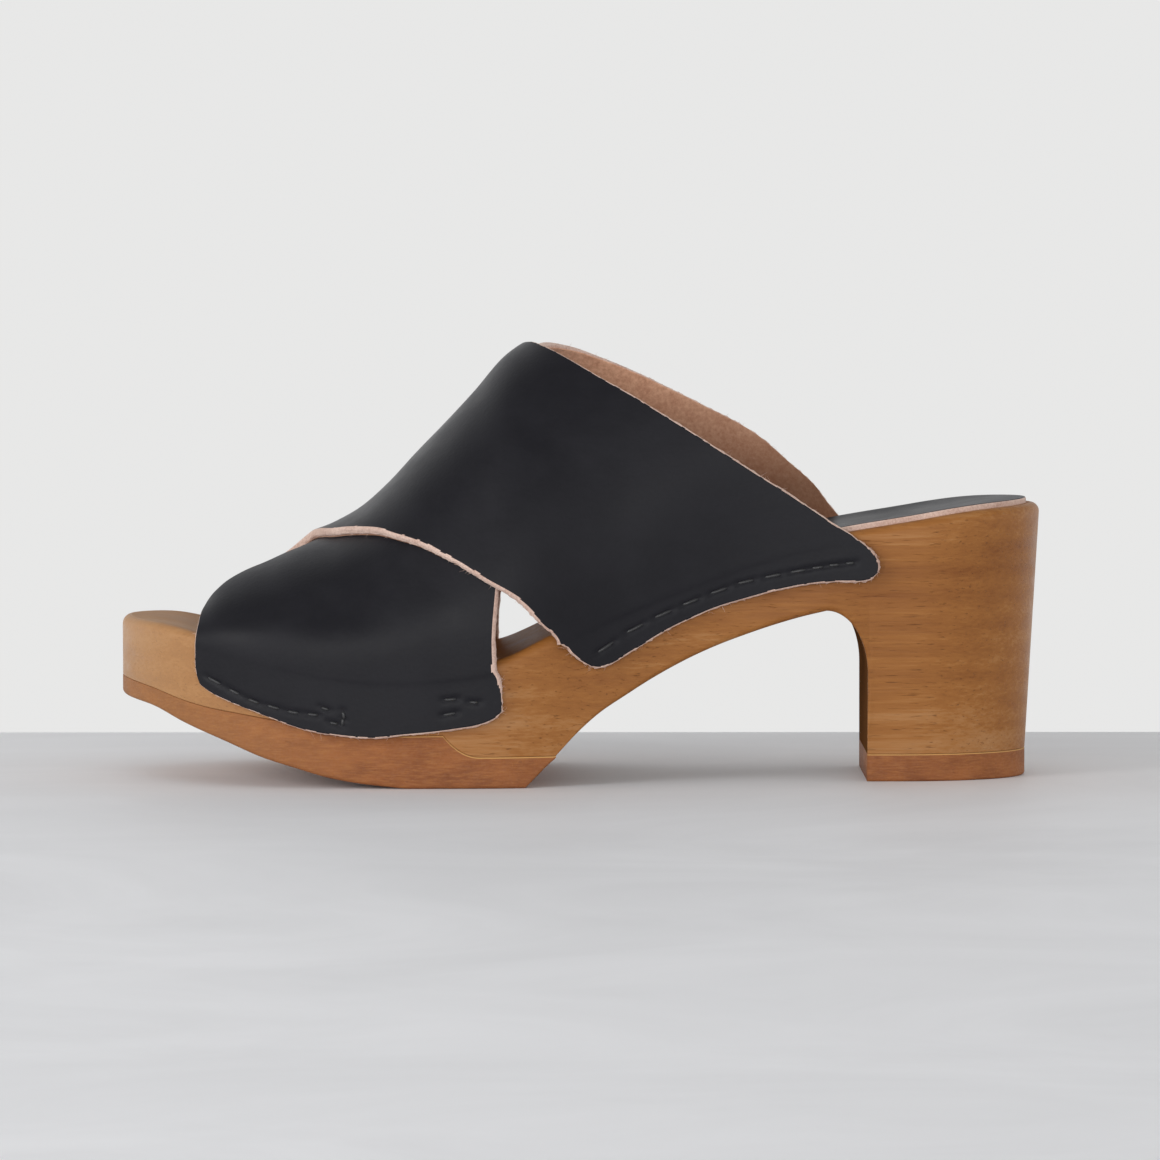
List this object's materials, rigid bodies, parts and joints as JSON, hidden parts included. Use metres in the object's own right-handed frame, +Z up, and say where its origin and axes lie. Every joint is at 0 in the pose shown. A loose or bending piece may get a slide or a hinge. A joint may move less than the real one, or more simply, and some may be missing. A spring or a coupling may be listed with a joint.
{
  "type": "clog mule",
  "caption": "Open-backed left clog mule with a wooden block-heel sole, rubber under forefoot and heel, and wide crossed leather straps over the instep.",
  "frame": {"origin": "on the floor, under the middle of the heel's foot", "axes": "+Z up, -X towards the toe, +Y towards the inner (medial) side of the foot"},
  "size_m": [0.2455, 0.0943, 0.1158],
  "materials": {
    "sole_wood": "satin, stained and waxed",
    "sole_rubber": "matte",
    "pad_leather": "smooth, semi-matte",
    "strap_leather": "smooth, semi-matte"
  },
  "bodies": {
    "root": {"wooden_sole": "sole_wood", "forefoot_outsole": "sole_rubber", "heel_tip": "sole_rubber", "heel_pad": "pad_leather", "upper": "strap_leather"}
  },
  "joints": []
}
